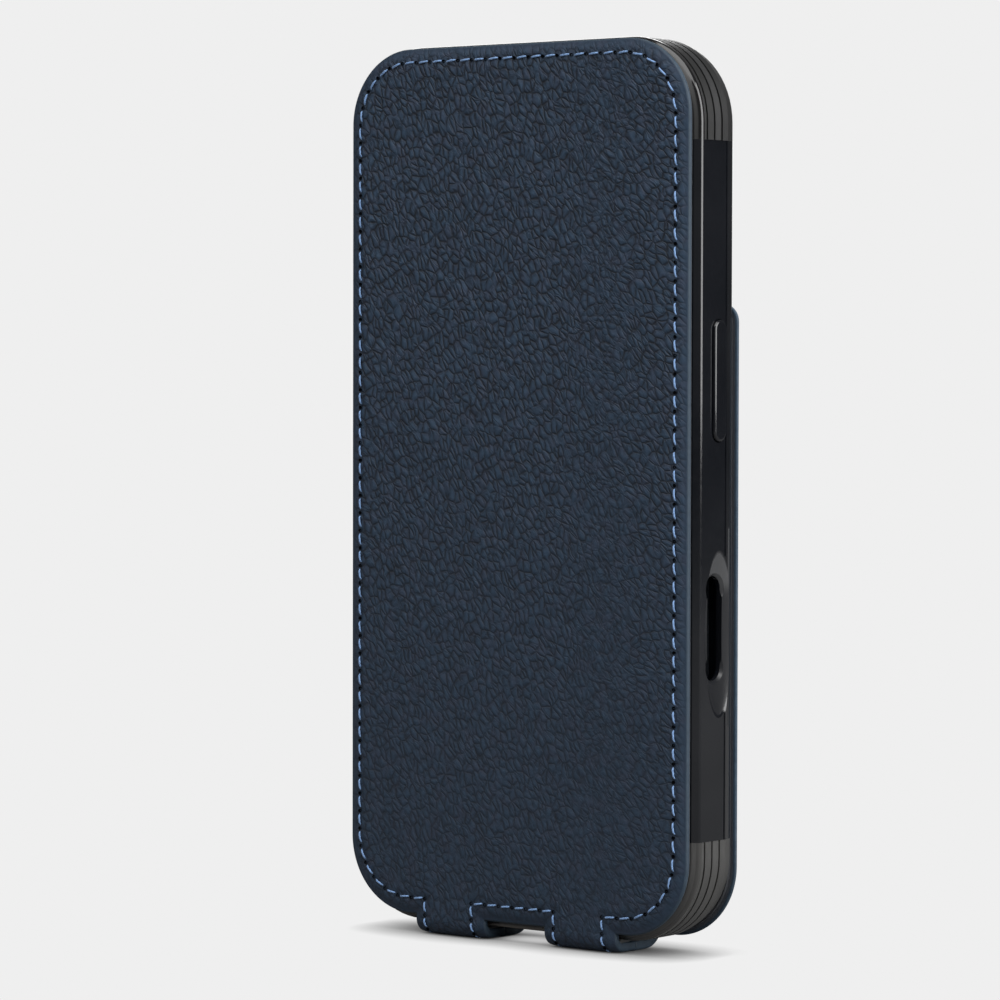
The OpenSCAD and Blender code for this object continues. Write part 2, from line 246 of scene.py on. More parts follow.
def round_corners(x, s, corners):
    """Moves grid points of each square corner block onto rounded rings."""
    x, s = x.copy(), s.copy()
    for cx, cs, sx, ss_, r in corners:
        u, v = (x - cx) * sx / r, (s - cs) * ss_ / r
        hit = (u > 1e-9) & (v > 1e-9)
        m = np.maximum(u, v)
        k = np.where(hit, m / np.maximum(np.hypot(u, v), 1e-9), 1)
        x = np.where(hit, cx + sx * r * u * k, x)
        s = np.where(hit, cs + ss_ * r * v * k, s)
    return x, s


def sheet(name, columns, rows, mask, corners, place, front, back, edge, materials,
          back_edge=0.25, flip=False, fine_below=-np.inf, flat_end=False, extra=None):
    """A closed sheet over a masked grid: a dense outer face, a rounded painted edge and a coarse inner face.

    columns and rows are what fill gives for x and s. front and back give the depth of the two faces at
    flat positions, edge is how far the grid stays inside the outline, and place lays flat positions and
    depths on the case. The inner face is as fine as the outer one below a height, where the sheet bends,
    and a flat end is cut square where the sheet meets another one.
    """
    (xs, x_marks), (ss, s_marks) = columns, rows
    nx, ns = len(xs), len(ss)
    gx, gs = np.meshgrid(xs, ss, indexing="ij")
    gx, gs = round_corners(gx, gs, corners)
    used = np.zeros((nx, ns), bool)
    for di in (0, 1):
        for dj in (0, 1):
            used[di:nx - 1 + di, dj:ns - 1 + dj] |= mask
    index = -np.ones((nx, ns), int)
    index[used] = np.arange(used.sum())
    flat = np.stack([gx[used], gs[used]], 1)
    i, j = np.nonzero(mask)
    quads = np.stack([index[i, j], index[i + 1, j], index[i + 1, j + 1], index[i, j + 1]], 1)

    # Boundary edges run with the sheet on their left
    padded = np.pad(mask, 1)
    edges = []
    sides = ((0, -1, (0, 0), (1, 0)), (1, 0, (1, 0), (1, 1)), (0, 1, (1, 1), (0, 1)), (-1, 0, (0, 1), (0, 0)))
    for di, dj, a, b in sides:
        lone = mask & ~padded[1 + di:nx + di, 1 + dj:ns + dj]
        p, q = np.nonzero(lone)
        edges.append(np.stack([index[p + a[0], q + a[1]], index[p + b[0], q + b[1]]], 1))
    edges = np.concatenate(edges)
    step = flat[edges[:, 1]] - flat[edges[:, 0]]
    normal = np.stack([step[:, 1], -step[:, 0]], 1)
    normal /= np.linalg.norm(normal, axis=1)[:, None]
    rim = np.unique(edges)
    n_in, n_out = np.zeros((len(flat), 2)), np.zeros((len(flat), 2))
    n_in[edges[:, 1]] = normal
    n_out[edges[:, 0]] = normal
    dot = (n_in[rim] * n_out[rim]).sum(1)
    miter = (n_in[rim] + n_out[rim]) / (1 + dot)[:, None]
    if flat_end:
        miter[flat[rim, 1] < ss[0] + 1e-6, 1] = 0
    rim_row = -np.ones(len(flat), int)
    rim_row[rim] = np.arange(len(rim))

    outer_depth, inner_depth = front(*flat.T), back(*flat.T)
    rings = [(edge * sin(pi * k / 12), outer_depth, edge * (1 - cos(pi * k / 12))) for k in range(1, 7)]
    rings += [(edge - back_edge * (1 - cos(pi * k / 6)), inner_depth, -back_edge * (1 - sin(pi * k / 6)))
              for k in range(4)]
    verts_flat, verts_depth, offsets = [flat], [outer_depth], []
    count = len(flat)
    for out, face, depth in rings:
        offsets.append(count)
        verts_flat.append(flat[rim] + miter * out)
        verts_depth.append(face[rim] + depth)
        count += len(rim)

    # Inner face: blocks of grid cells, with every rim vertex kept
    inner_index, inner_ids = {}, []

    def inner(a, b):
        k = index[a, b]
        if k not in inner_index:
            inner_index[k] = count + len(inner_ids)
            inner_ids.append(k)
        return inner_index[k]

    s_spans = []
    for lo, hi in blocks(s_marks, INNER_BLOCK):
        s_spans += [(k, k + 1) for k in range(lo, hi)] if ss[lo] < fine_below else [(lo, hi)]
    polys = []
    for i0, i1 in blocks(x_marks, INNER_BLOCK):
        for j0, j1 in s_spans:
            if not mask[i0, j0]:
                continue
            below = j0 == 0 or not mask[i0, j0 - 1]
            right = i1 == nx - 1 or not mask[i1, j0]
            above = j1 == ns - 1 or not mask[i0, j1]
            left = i0 == 0 or not mask[i0 - 1, j0]
            loop = [(k, j0) for k in (range(i0, i1) if below else (i0,))]
            loop += [(i1, k) for k in (range(j0, j1) if right else (j0,))]
            loop += [(k, j1) for k in (range(i1, i0, -1) if above else (i1,))]
            loop += [(i0, k) for k in (range(j1, j0, -1) if left else (j1,))]
            polys.append([inner(*p) for p in loop][::-1])
    verts_flat.append(flat[inner_ids])
    verts_depth.append(inner_depth[inner_ids])

    all_flat, all_depth = np.concatenate(verts_flat), np.concatenate(verts_depth)
    points = place(*all_flat.T, all_depth)
    faces = [list(q) for q in quads]
    mats = [0] * len(faces)
    last_a, last_b = edges.T
    for row, off in enumerate(offsets):
        a, b = off + rim_row[edges[:, 0]], off + rim_row[edges[:, 1]]
        faces += np.stack([last_a, a, b, last_b], 1).tolist()
        mats += [0 if row < 2 else 1] * len(edges)
        last_a, last_b = a, b
    ends = [[inner_index[k] for k in side] for side in edges.T]
    faces += np.stack([last_a, *ends, last_b], 1).tolist()
    mats += [1] * len(edges)
    faces += polys
    mats += [2] * len(polys)
    if flip:
        faces = [f[::-1] for f in faces]
    attributes = {"flat": np.concatenate([all_flat * MM, np.zeros((len(all_flat), 1))], 1)}
    for key, fn in (extra or {}).items():
        attributes[key] = fn(*all_flat.T)
    return make_mesh(name, points, faces, materials, mats, attributes)


# ---- laying sheets on the case
def fold(s, r, depth):
    """How far out from a fold's line, and how high, a point lies on the way down, round it and inwards."""
    arc = np.clip((r - s) / r, 0, pi / 2)
    beyond = np.maximum(r - s - r * pi / 2, 0)
    return (r - depth) * np.cos(arc) - beyond, np.maximum(s, r) - (r - depth) * np.sin(arc)


def on_front(x, s, depth):
    """Down the flap, round the front fold and back under the case."""
    out, z = fold(s, FRONT_R, depth)
    return np.stack([x, FRONT_Y + FRONT_R - out, z], 1)


def on_back(x, s, depth):
    """Down the back panel, round the rear fold under a strap and forward under the case."""
    strap = np.abs(np.abs(x) - STRAP_X) < STRAP_HALF + 0.05
    out, z = fold(s, REAR_R, depth)
    return np.stack([x, np.where(strap, BACK_Y - REAR_R + out, BACK_Y - depth), np.where(strap, z, s)], 1)


def flat_inside(x, s, depth):
    """On the card pocket inside the flap, facing the back."""
    return np.stack([x, POCKET_HI[1] - depth, s], 1)


def rounded_inset(x, s, half, low, high, low_r, high_r):
    """Distance inside a rounded rectangle, negative outside."""
    mid = (low + high) / 2
    r = np.where(s > mid, high_r, low_r)
    qx = np.abs(x) - (half - r)
    qs = np.abs(s - mid) - ((high - low) / 2 - r)
    return r - np.hypot(np.maximum(qx, 0), np.maximum(qs, 0)) - np.minimum(np.maximum(qx, qs), 0)


# ---- seams
def arc_points(cx, cs, r, a0, a1, n=24):
    angles = [radians(a0 + (a1 - a0) * k / n) for k in range(n + 1)]
    return [(cx + r * cos(a), cs + r * sin(a)) for a in angles]


def walk(points):
    """Stitches along a leg of a seam: the two needle holes of each, in flat millimetres."""
    p = np.array(points, float)
    seg = np.linalg.norm(np.diff(p, axis=0), axis=1)
    keep = np.concatenate([[True], seg > 1e-6])
    p = p[keep]
    at = np.concatenate([[0], np.cumsum(np.linalg.norm(np.diff(p, axis=0), axis=1))])
    n = max(1, round(at[-1] / STITCH_PITCH))
    t = np.linspace(0, at[-1], n + 1)
    holes = np.stack([np.interp(t, at, p[:, 0]), np.interp(t, at, p[:, 1])], 1)
    return [(holes[k], holes[k + 1]) for k in range(n)]


def seam(half, low, top, low_r, top_r, tab_end):
    """The stitches of a panel: round its edge, between its straps, and down both sides of each strap."""
    outer, inner = STRAP_X + STRAP_SEAM, STRAP_X - STRAP_SEAM
    loop = [(outer, low)]
    loop += arc_points(half - low_r, low + low_r, low_r, -90, 0)
    loop += arc_points(half - top_r, top - top_r, top_r, 0, 90)
    loop += arc_points(-half + top_r, top - top_r, top_r, 90, 180)
    loop += arc_points(-half + low_r, low + low_r, low_r, 180, 270)
    loop += [(-outer, low)]
    legs = [loop, [(-inner, low), (inner, low)]]
    legs += [[(x, low), (x, tab_end)] for x in (-outer, -inner, inner, outer)]
    return [stitch for leg in legs for stitch in walk(leg)]


def flap_seam(tab_end):
    r = FLAP_R - (FLAP_HALF - SEAM_HALF)
    return seam(SEAM_HALF, SEAM_LOW, SEAM_TOP, r, r, tab_end)


def rear_seam(tab_end):
    half, top = REAR_THREAD_HI[0] - CAD_THREAD_HALF, REAR_THREAD_HI[2] - CAD_THREAD_HALF
    return seam(half, REAR_R + REAR_SEAM_RISE, top,
                PANEL_LOW_R - (PANEL_HALF - half), REAR_SEAM_TOP_R, tab_end)


def seam_dip(x, s, stitches):
    """How deep the thread pulls the leather in, in mm."""
    dip = np.zeros(len(x))
    for a, b in stitches:
        lo, hi = np.minimum(a, b) - PULL_REACH, np.maximum(a, b) + PULL_REACH
        near = np.nonzero((x > lo[0]) & (x < hi[0]) & (s > lo[1]) & (s < hi[1]))[0]
        if not len(near):
            continue
        p = np.stack([x[near], s[near]], 1)
        ab = b - a
        t = np.clip(((p - a) @ ab) / (ab @ ab), 0, 1)
        r = np.linalg.norm(p - a - t[:, None] * ab, axis=1)
        pull = PULL_DEPTH * np.exp(-(r / PULL_WIDTH) ** 2) * (0.8 + 0.5 * np.abs(2 * t - 1) ** 2)
        dip[near] = np.maximum(dip[near], pull)
        for h in (a, b):
            q = np.linalg.norm(p - h, axis=1)
            dip[near] = np.maximum(dip[near], HOLE_DIP * np.exp(-(q / HOLE_DIP_WIDTH) ** 2))
    return dip


def needle_holes(stitches, base):
    """Rings and faces of a punched hole, coloured dark as painted shade, at each end of each stitch, with
    vertices counted from base.
    """
    n = 14
    ang = np.arange(n) * 2 * pi / n
    following = [(m, (m + 1) % n) for m in range(n)]
    rings, faces = [], []
    for hole in np.unique(np.round([h for pair in stitches for h in pair], 3), axis=0):
        for share, depth in ((0.55, 0.30), (1.0, 0.10), (0.8, 0.42)):
            r = HOLE_R * share * (1 + 0.06 * np.sin(2 * ang + hole[1]))
            rings.append(np.stack([hole[0] + r * np.cos(ang), hole[1] + r * np.sin(ang),
                                   np.full(n, depth)], 1))
        rings.append(np.array([[*hole, 0.36], [*hole, 0.46]]))
        ring_b, ring_c, bottom = base + n, base + 2 * n, base + 3 * n
        for m, k in following:
            faces += [(bottom, base + m, base + k), (base + m, ring_b + m, ring_b + k, base + k),
                      (ring_b + m, ring_c + m, ring_c + k, ring_b + k), (bottom + 1, ring_c + k, ring_c + m)]
        base = bottom + 2
    return rings, faces


def thread_mesh(name, stitches, place, crown, seed, radius=THREAD_R, mirrored=False):
    """Each stitch is a short twisted thread that rises out of one needle hole and dives into the next."""
    rng = np.random.default_rng(seed)
    n_ring, n_side = 17, 12
    ang = np.arange(n_side) * 2 * pi / n_side
    t = np.linspace(0, 1, n_ring)
    ends = np.abs(2 * t - 1)
    rings, faces = [], []
    for count, (a, b) in enumerate(stitches):
        mid, half = (a + b) / 2, (b - a) / 2
        length = np.linalg.norm(half) * 2
        turn = radians(STITCH_LEAN + rng.uniform(-2.5, 2.5))
        half = np.array([half[0] * cos(turn) - half[1] * sin(turn),
                         half[0] * sin(turn) + half[1] * cos(turn)])
        side = np.array([-half[1], half[0]]) / np.linalg.norm(half)
        along = mid + np.outer((2 * t - 1) * (length - STITCH_GAP) / length, half)
        # Under the case the threads are pressed flush with the leather
        sunk = (crown + 0.05) * (1 - smooth(0, 2, mid[1])) if place is not flat_inside else 0
        height = crown - sunk + rng.uniform(-0.02, 0.02) - (crown + 0.50) * ends ** 4
        fat = radius * (1 - 0.42 * ends ** 3)
        phase = rng.uniform(0, 2 * pi)
        base = count * n_ring * n_side
        for k in range(n_ring):
            rr = fat[k] * (1 + 0.11 * np.cos(3 * ang - 2 * pi * t[k] * length / PLY_PITCH + phase))
            lift = height[k] - radius * 0.9 + rr * np.sin(ang) * 0.9
            rings.append(np.concatenate([along[k] + np.outer(rr * np.cos(ang), side), -lift[:, None]], 1))
        last = base + (n_ring - 1) * n_side
        for row in range(base, last, n_side):
            for m in range(n_side):
                p, q = row + m, row + (m + 1) % n_side
                faces.append((p, q, q + n_side, p + n_side))
        faces.append(tuple(range(base + n_side - 1, base - 1, -1)))
        faces.append(tuple(range(last, last + n_side)))
    hole_rings, hole_faces = needle_holes(stitches, len(stitches) * n_ring * n_side)
    mats = [0] * len(faces) + [1] * len(hole_faces)
    faces += hole_faces
    verts = np.concatenate(rings + hole_rings)
    if mirrored:
        faces = [f[::-1] for f in faces]
    flat = np.concatenate([verts[:, :2] * MM, np.zeros((len(verts), 1))], 1)
    return make_mesh(name, place(*verts.T), faces, [THREAD, HOLE_SHADE], mats, {"flat": flat})


# ---- materials
# The leather's cells, wrinkles and swells: width and length in metres, and how far they lean
COARSE_CELL = (0.00115, 0.0019)
FINE_CELL = (0.00065, 0.00105)
WRINKLE = (0.0019, 0.0075)
SWELL = (0.0015, 0.0028)
SIDE_GRAIN_TILT = radians(48)
WRINKLE_TILT = radians(38)
LEATHER_RELIEF = 0.000142
RIB_ROUGHNESS, BEVEL_ROUGHNESS = 0.48, 0.28

# Colours from dark to light
NAVY = ((0.0020, 0.0053, 0.0115), (0.0066, 0.0170, 0.0340),
        (0.0130, 0.0310, 0.0585), (0.0240, 0.0490, 0.0860))
GREYED_NAVY = ((0.0034, 0.0055, 0.0135), (0.0285, 0.0410, 0.0740))
# Near black, for the painted shade inside the needle holes
HOLE_SHADE_COLOURS = ((0.0008, 0.0010, 0.0016), (0.0025, 0.0032, 0.0048))
EDGE_PAINT = ((0.020, 0.037, 0.057), (0.031, 0.052, 0.077))
LINING_GREY = ((0.020, 0.024, 0.032), (0.045, 0.052, 0.066))
LINING_SHADE = (0.026, 0.030, 0.040)
THREAD_BLUE = ((0.098, 0.180, 0.345), (0.190, 0.305, 0.515))
SMOKE = ((0.0030, 0.0036, 0.0050), (0.0058, 0.0064, 0.0082))
# Painted light and shade: the matt corners' grey, lighter low down and darker at the top
RIB_GREY_LIT_LOW, RIB_GREY_SHADED_TOP = (0.038, 0.0375, 0.0365), (0.0120, 0.0121, 0.0128)
# Painted light on the bumper's underside
UNDERSIDE_PAINTED_LIGHT = (0.120, 0.110, 0.100)
# Painted highlight in the upper end of the control opening's bevel
CRESCENT_HIGHLIGHT = (0.034, 0.035, 0.037)
STEEL = ((0.42, 0.42, 0.44), (0.60, 0.60, 0.62))
FIBRE_GREY = ((0.018, 0.019, 0.022), (0.034, 0.036, 0.041))


def feed(tree, socket, value):
    if isinstance(value, bpy.types.NodeSocket):
        tree.links.new(value, socket)
    else:
        socket.default_value = value


def add_node(tree, kind, values=None, **settings):
    """A shader node with its settings, and with values or links for its inputs."""
    node = tree.nodes.new("ShaderNode" + kind)
    for key, value in settings.items():
        setattr(node, key, value)
    for key, value in (values or {}).items():
        feed(tree, node.inputs[key], value)
    return node


class Nodes:
    """A short way to write a material's nodes."""

    def __init__(self, name):
        self.mat = bpy.data.materials.new(name)
        self.mat.use_nodes = True
        self.tree = self.mat.node_tree

    def add(self, kind, values=None, **settings):
        return add_node(self.tree, kind, values, **settings)

    def set(self, **values):
        names = {"color": "Base Color", "roughness": "Roughness", "normal": "Normal", "metallic": "Metallic",
                 "specular": "Specular IOR Level", "sheen": "Sheen Weight",
                 "sheen_roughness": "Sheen Roughness", "ior": "IOR"}
        for key, value in values.items():
            feed(self.tree, self.tree.nodes["Principled BSDF"].inputs[names[key]], value)
        return self.mat

    def coords(self, attribute=None):
        if attribute:
            return self.add("Attribute", attribute_name=attribute).outputs["Vector"]
        return self.add("TexCoord").outputs["Object"]

    def noise(self, vector, scale, detail=3, roughness=0.55):
        values = {"Vector": vector, "Scale": scale, "Detail": detail, "Roughness": roughness}
        return self.add("TexNoise", values).outputs["Fac"]

    def vector(self, operation, a, b=None, out=0):
        values = {0: a} if b is None else {0: a, 1: b}
        return self.add("VectorMath", values, operation=operation).outputs[out]

    def warp(self, vector, scale, amount):
        """The vector pushed about by up to amount with noise of the given scale."""
        noise = self.add("TexNoise", {"Vector": vector, "Scale": scale, "Detail": 1}).outputs["Color"]
        push = self.vector("SUBTRACT", noise, (0.5, 0.5, 0.5))
        return self.vector("ADD", vector, self.vector("MULTIPLY", push, (amount, amount, 0)))

    def leaning(self, vector, width, length, lean):
        """The vector in a frame that leans and is measured in widths and lengths, given in metres."""
        values = {"Vector": vector, "Rotation": (0, 0, lean), "Scale": (width, length, 1)}
        return self.add("Mapping", values, vector_type="TEXTURE").outputs[0]

    def pebbles(self, vector, width, length, crease, lean=GRAIN_TILT):
        """0 in the creases between leaning pebbles and 1 on them; width and length in metres."""
        turned = self.leaning(vector, width, length, lean)
        edges = self.add("TexVoronoi", {"Vector": turned, "Scale": 1.0}, feature="DISTANCE_TO_EDGE",
                         voronoi_dimensions="2D")
        return self.smoothstep(edges.outputs["Distance"], 0.0, crease)

    def smoothstep(self, value, low, high, to_low=0.0, to_high=1.0):
        values = {"Value": value, "From Min": low, "From Max": high, "To Min": to_low, "To Max": to_high}
        return self.add("MapRange", values, interpolation_type="SMOOTHSTEP").outputs["Result"]

    def mix_value(self, fac, a, b):
        return self.add("Mix", {0: fac, 2: a, 3: b}, data_type="FLOAT").outputs[0]

    def attribute(self, name):
        return self.add("Attribute", attribute_name=name).outputs["Fac"]

    def ramp(self, fac, *stops):
        node = self.add("ValToRGB", {"Fac": fac})
        elements = node.color_ramp.elements
        while len(elements) < len(stops):
            elements.new(0.5)
        for e, (pos, colour) in zip(elements, stops):
            e.position = pos
            e.color = (*colour, 1)
        return node.outputs["Color"]

    def remap(self, fac, low, high, from_low=0.0, from_high=1.0):
        values = {"Value": fac, "From Min": from_low, "From Max": from_high, "To Min": low, "To Max": high}
        return self.add("MapRange", values).outputs["Result"]

    def math(self, operation, a, b=0.0):
        return self.add("Math", {0: a, 1: b}, operation=operation).outputs["Value"]

    def total(self, *values):
        return reduce(lambda a, b: self.math("ADD", a, b), values)

    def product(self, *values):
        return reduce(lambda a, b: self.math("MULTIPLY", a, b), values)

    def away(self, value, centre):
        return self.math("ABSOLUTE", self.math("SUBTRACT", value, centre))

    def mix(self, fac, a, b, mode="MIX"):
        a, b = ((*v, 1) if isinstance(v, tuple) else v for v in (a, b))
        return self.add("Mix", {0: fac, 6: a, 7: b}, data_type="RGBA", blend_type=mode).outputs[2]

    def grey(self, level):
        return self.add("CombineColor", {0: level, 1: level, 2: level}).outputs[0]

    def shaded(self, colour, level):
        return self.mix(1.0, colour, self.grey(level), mode="MULTIPLY")

    def bump(self, height, distance, strength=1.0):
        return self.add("Bump", {"Height": height, "Distance": distance,
                                 "Strength": strength}).outputs["Normal"]


def leather_material():
    """Navy grained leather: the grain's own tone with painted shade in the creases and painted light on the
    crowns, finer towards the bottom, lighter towards the top as painted light, calm along its edges.
    """
    n = Nodes("leather")
    at = n.coords("flat")
    bent = n.warp(n.warp(at, 620, 0.00045), 150, 0.0024)
    x, up = n.add("SeparateXYZ", {0: at}).outputs[:2]
    sideways = n.smoothstep(x, 0.006, 0.034)
    depth = n.smoothstep(up, 0.005, 0.125, 0.66, 1.0)
    fine_share = n.total(n.smoothstep(up, 0.005, 0.10, 0.30, 0.05), n.remap(n.noise(at, 160, 2), -0.12, 0.12))
    gaps = n.smoothstep(n.noise(bent, 480, 2), 0.50, 0.66, 0.0, 0.6)

    def network(width, length, crease):
        whole = n.mix_value(sideways, n.pebbles(bent, width, length, crease),
                            n.pebbles(bent, width, length, crease, SIDE_GRAIN_TILT))
        return n.math("MAXIMUM", whole, gaps)

    # Small cells among larger ones, crossed by long wrinkles, over soft domes and swells
    creases = n.mix_value(fine_share, network(*COARSE_CELL, 0.16), network(*FINE_CELL, 0.24))
    domes = network(*COARSE_CELL, 0.48)
    valley = n.away(n.noise(n.leaning(bent, *WRINKLE, WRINKLE_TILT), 1.0, 1.5, 0.6), 0.5)
    creases = n.product(creases, n.remap(n.smoothstep(valley, 0.0, 0.030), 0.35, 1.0))
    wave = n.noise(n.leaning(bent, *SWELL, GRAIN_TILT), 1.0, 2.5)
    pores = n.noise(at, 5200, 2, 0.6)
    calm = n.attribute("calm")

    # Tone from 0 in the creases to 1 on the crowns, mixed of a clear and a greyer navy: the grain's own
    # colour together with painted shade in the creases and painted light on the crowns
    tone = n.total(n.product(creases, 0.34), n.product(domes, 0.40), n.remap(wave, -0.14, 0.26, 0.2, 0.8))
    tone = n.mix_value(n.product(calm, depth), 0.52, tone)
    navy = n.ramp(tone, *zip((0.08, 0.40, 0.72, 1.0), NAVY))
    greyed = n.mix(tone, *GREYED_NAVY)
    base = n.mix(n.remap(n.noise(at, 380, 2), 0.0, 0.55, 0.45, 0.65), navy, greyed)
    # Painted light: the leather's colour is painted up to 15% lighter towards the top
    base = n.shaded(base, n.remap(depth, 0.99, 1.15, 0.66, 1.0))
    rough = n.total(n.remap(tone, 0.72, 0.52), n.remap(pores, -0.05, 0.05))
    relief = n.total(n.product(creases, 0.62), n.product(domes, 0.60),
                     n.product(wave, 1.5), n.product(pores, 0.05))
    strength = n.product(n.remap(calm, 0.10, 1.0), depth)
    return n.set(color=base, roughness=rough, normal=n.bump(relief, LEATHER_RELIEF, strength), specular=0.42)


# Painted shade: the needle holes are coloured near black for the shade inside them
def hole_material():
    n = Nodes("needle_hole")
    hole_shade_noise = n.noise(n.coords("flat"), 3000, 2)
    return n.set(color=n.ramp(hole_shade_noise, *zip((0.3, 0.7), HOLE_SHADE_COLOURS)),
                 roughness=n.remap(hole_shade_noise, 0.8, 0.95), specular=0.05)


def edge_material(name, painted_light_gain, painted_shade_gain=0.7):
    """Painted cut edge of the leather, duller than its face, with painted shade darkening it towards the
    bottom where it goes under the case.
    """
    n = Nodes(name)
    at = n.coords("flat")
    patches = n.noise(at, 900, 3)
    height = n.add("SeparateXYZ", {0: at}).outputs["Y"]
    # Painted shade: the edge's colour is darkened towards the bottom, and above that it is scaled by the
    # copy's painted light gain
    tint = n.shaded(n.ramp(patches, *zip((0.3, 0.7), EDGE_PAINT)),
                    n.smoothstep(height, 0.006, 0.032, painted_shade_gain, painted_light_gain))
    return n.set(color=tint, roughness=n.remap(patches, 0.52, 0.66), specular=0.3,
                 normal=n.bump(n.noise(at, 2600, 2), 0.00003, 0.5))


def lining_material():
    n = Nodes("microfibre")
    at = n.coords()
    nap = n.noise(at, 2400, 4, 0.65)
    shade = n.remap(n.noise(at, 60, 3), 0.0, 0.5, 0.3, 0.7)
    base = n.mix(shade, n.ramp(nap, *zip((0.3, 0.75), LINING_GREY)), LINING_SHADE)
    return n.set(color=base, roughness=n.remap(nap, 0.84, 0.98), normal=n.bump(nap, 0.00008, 0.7), sheen=0.35,
                 sheen_roughness=0.45, specular=0.2)


def thread_material():
    n = Nodes("thread")
    fibres = n.noise(n.coords("flat"), 6000, 3)
    return n.set(color=n.ramp(fibres, *zip((0.25, 0.75), THREAD_BLUE)), roughness=n.remap(fibres, 0.55, 0.75),
                 normal=n.bump(fibres, 0.00005, 0.6), sheen=0.25, sheen_roughness=0.4, specular=0.3)


def ribbed_zone(n, at, base, rough):
    """The bumper's colour and roughness where it isn't plain glossy plastic; places are in mm."""
    x, y, z = n.add("SeparateXYZ", {0: at}).outputs
    middle, half = (TRAY_LO[2] + TRAY_HI[2]) / 2, (TRAY_HI[2] - TRAY_LO[2]) / 2

    def step(value, place, blur=0.06):
        """From 0 to 1 at a place in mm; a negative blur turns it round."""
        return n.remap(value, 0.0, 1.0, (place - blur) * MM, (place + blur) * MM)

    def rise(value, start, full):
        return n.smoothstep(value, start * MM, full * MM)

    # The outer skin of the four corners is matt
    lower = step(z, TRAY_LO[2] + RIBBED_RUN, -0.06)
    upper = step(z, TRAY_HI[2] - RIBBED_RUN)
    beside = step(n.math("ABSOLUTE", x), TRAY_HI[0] - RIBBED_RUN)
    core = ((TRAY_HI[0] - TRAY_R) * MM, 1.0, (half - TRAY_R) * MM)
    centred = n.vector("ABSOLUTE", n.vector("SUBTRACT", at, (0, 0, middle * MM)))
    beyond = n.vector("MAXIMUM", n.vector("SUBTRACT", centred, core), (0, 0, 0))
    skin = rise(n.vector("LENGTH", beyond, out="Value"), TRAY_R - 1.5, TRAY_R - 1.4)
    matt = n.product(n.total(lower, upper), beside, skin)

    # Painted shade: its soft grooves are darker, and darker still at the top, and the matt skin is painted
    # darker at the top corners than at the bottom ones, as light falls on it
    first = (TRAY_HI[1] - FIRST_RIB) * MM
    phase = n.remap(y, 0.0, 1.0, first, first - RIB_PITCH * MM)
    ridge = n.smoothstep(n.math("PINGPONG", phase, 0.5), 0.08, 0.27)
    streaks = n.noise(n.vector("MULTIPLY", at, (300, 3200, 300)), 1.0, 2)
    shade = n.product(n.remap(streaks, 0.75, 1.25), n.mix_value(ridge, n.remap(upper, 0.90, 0.38), 1.0))
    base = n.mix(matt, base, n.shaded(n.mix(upper, RIB_GREY_LIT_LOW, RIB_GREY_SHADED_TOP), shade))

    # The front lip stays glossy, and the underside is painted pale, a painted light on it
    lip = n.product(rise(y, TRAY_LO[1] + 0.35, TRAY_LO[1] + 0.65),
                    rise(y, TRAY_LO[1] + 1.6, TRAY_LO[1] + 1.3))
    rough = n.mix_value(n.product(matt, n.math("SUBTRACT", 1.0, lip)), rough, RIB_ROUGHNESS)
    painted_light_beneath = n.product(rise(z, TRAY_LO[2] + 0.9, TRAY_LO[2] + 0.3), n.math("SUBTRACT", 1.0, beside))
    base = n.mix(painted_light_beneath, base, UNDERSIDE_PAINTED_LIGHT)

    # The bevel round the control opening is dull, with a painted highlight, a pale crescent, in its upper end
    along = rise(n.away(z, CONTROL_Z * MM), 17.0, 16.5)
    across = rise(n.away(y, CONTROL_Y * MM), 4.2, 4.0)
    sunk = n.product(rise(x, TRAY_HI[0] - 0.14, TRAY_HI[0] - 0.20),
                     rise(x, TRAY_HI[0] - 1.1, TRAY_HI[0] - 0.95))
    bevel = n.product(along, across, sunk)
    rough = n.math("MAXIMUM", rough, n.remap(bevel, 0.0, BEVEL_ROUGHNESS))
    crescent = n.product(bevel, rise(z, CONTROL_Z + 5.5, CONTROL_Z + 8.0))
    return n.mix(crescent, base, CRESCENT_HIGHLIGHT), rough


def bumper_material(name, ribbed):
    """Glossy smoky plastic, with its matt ribbed corners where asked for."""
    n = Nodes(name)
    at = n.coords()
    base = n.ramp(n.noise(at, 70, 3), *zip((0.3, 0.75), SMOKE))
    rough = n.remap(n.noise(at, 900, 3), 0.07, 0.13, 0.3, 0.7)
    if ribbed:
        base, rough = ribbed_zone(n, at, base, rough)
    return n.set(color=base, roughness=rough, normal=n.bump(n.noise(at, 240, 2), 0.00002, 0.2),
                 ior=1.5, specular=0.5)


def metal_material():
    n = Nodes("plated_steel")
    brush = n.noise(
        n.add("Mapping", {"Vector": n.coords(), "Scale": (1.0, 1.0, 30.0)}).outputs["Vector"], 300, 3)
    return n.set(color=n.ramp(brush, *zip((0.3, 0.7), STEEL)), metallic=1.0,
                 roughness=n.remap(brush, 0.26, 0.4))


def board_material():
    n = Nodes("fibre_board")
    specks = n.noise(n.coords(), 1500, 4, 0.7)
    return n.set(color=n.ramp(specks, *zip((0.3, 0.7), FIBRE_GREY)), roughness=n.remap(specks, 0.8, 0.95),
                 normal=n.bump(specks, 0.00005, 0.6), specular=0.3)


LEATHER = leather_material()
EDGE = edge_material("edge_paint", 0.75)
# Painted light: the rear panel's edge is a lighter copy of the same edge paint, for the light its rounded
# edge catches
REAR_EDGE_LIT = edge_material("rear_edge_paint_lit", 1.05)
LINING = lining_material()
THREAD = thread_material()
HOLE_SHADE = hole_material()
BUMPER = bumper_material("smoky_bumper", True)
COVER = bumper_material("smoky_cover", False)
METAL = metal_material()
BOARD = board_material()


# ---- what the leather panels share
def mirrored_keys(half_keys):
    return [-k for k in reversed(half_keys[1:])] + half_keys


